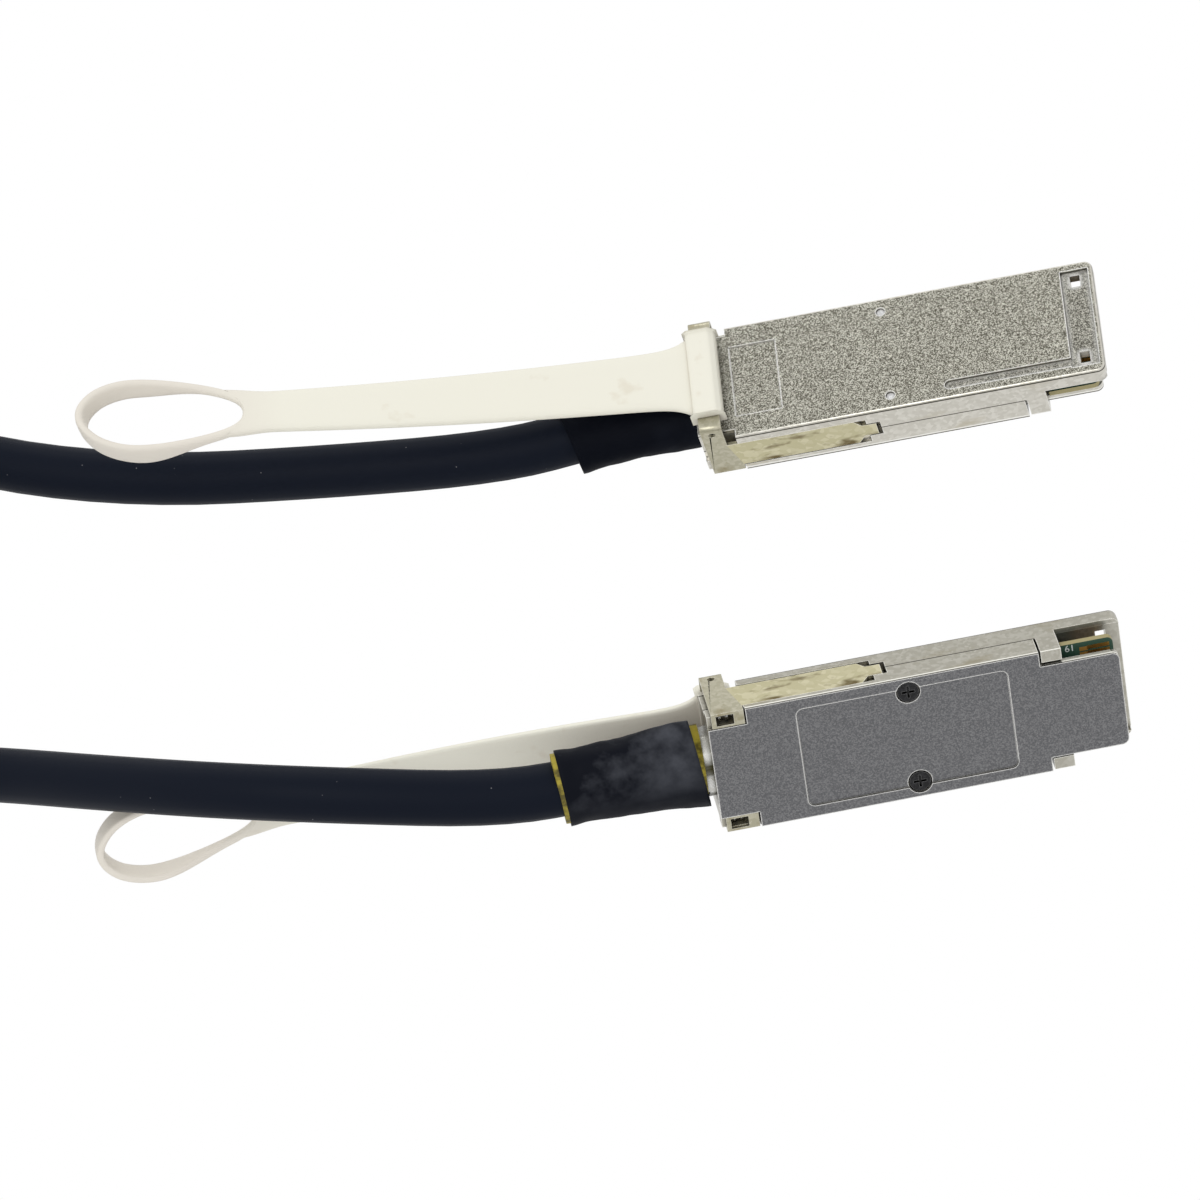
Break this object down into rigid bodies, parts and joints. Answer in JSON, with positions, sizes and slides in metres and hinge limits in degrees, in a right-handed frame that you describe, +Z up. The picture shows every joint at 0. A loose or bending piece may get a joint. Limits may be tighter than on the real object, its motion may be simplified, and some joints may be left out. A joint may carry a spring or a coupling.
{
  "type": "direct attach copper cable",
  "caption": "Stiff black twinaxial cable with a latched metal module plug and cream pull tab at each end, spare length coiled and strapped.",
  "frame": {"origin": "under the middle of plug A's nose, on the surface the cable lies on", "axes": "+X out of plug A's nose, +Y to the left of plug A, +Z up"},
  "size_m": [0.2898, 0.132, 0.0335],
  "materials": {
    "shell_nickel": "grainy blasted nickel plate",
    "cover_nickel": "fine blasted nickel plate, darker",
    "latch_steel": "smooth nickel-plated spring steel with yellowish-brown stains",
    "spring_steel": "drawn wire",
    "screw_black": "black oxide",
    "tab_cream": "smooth cream moulding",
    "card_green": "solder mask",
    "contact_gold": "gold plate",
    "chip_black": "moulded package",
    "ferrule_metal": "bright crimped sleeve",
    "tape_yellow": "polyimide tape",
    "sleeve_black": "heat shrink",
    "cable_jacket": "matte, slightly wavy",
    "pair_blue": "insulated pairs",
    "tie_fabric": "woven hook-and-loop strap"
  },
  "bodies": {
    "cable_and_housings": {"top_shell_a": "shell_nickel", "bottom_cover_a": "cover_nickel", "cover_screws_a": "screw_black", "latch_springs_a": "spring_steel", "paddle_card_a": "card_green", "card_contacts_a": "contact_gold", "memory_chip_a": "chip_black", "crimp_ferrule_a": "ferrule_metal", "wire_pairs_a": "pair_blue", "tape_collar_a": "tape_yellow", "heat_shrink_a": "sleeve_black", "top_shell_b": "shell_nickel", "bottom_cover_b": "cover_nickel", "cover_screws_b": "screw_black", "latch_springs_b": "spring_steel", "paddle_card_b": "card_green", "card_contacts_b": "contact_gold", "memory_chip_b": "chip_black", "crimp_ferrule_b": "ferrule_metal", "wire_pairs_b": "pair_blue", "tape_collar_b": "tape_yellow", "heat_shrink_b": "sleeve_black", "cable_run_a": "cable_jacket", "cable_run_b": "cable_jacket", "cable_coil": "cable_jacket", "cable_tie": "tie_fabric"},
    "latch_a": {"latch_frame_a": "latch_steel", "pull_tab_a": "tab_cream"},
    "latch_b": {"latch_frame_b": "latch_steel", "pull_tab_b": "tab_cream"}
  },
  "joints": [
    {"name": "latch_a_pull", "type": "slide", "parent": "cable_and_housings", "child": "latch_a", "axis": [-1, 0, 0], "range_m": [0, 0.002], "stiffness_N_per_m": 1500, "springref_m": -0.001, "deforming": ["latch_springs_a"]},
    {"name": "latch_b_pull", "type": "slide", "parent": "cable_and_housings", "child": "latch_b", "axis": [-0.982, -0.1043, 0.1577], "range_m": [0, 0.002], "stiffness_N_per_m": 1500, "springref_m": -0.001, "deforming": ["latch_springs_b"]}
  ]
}
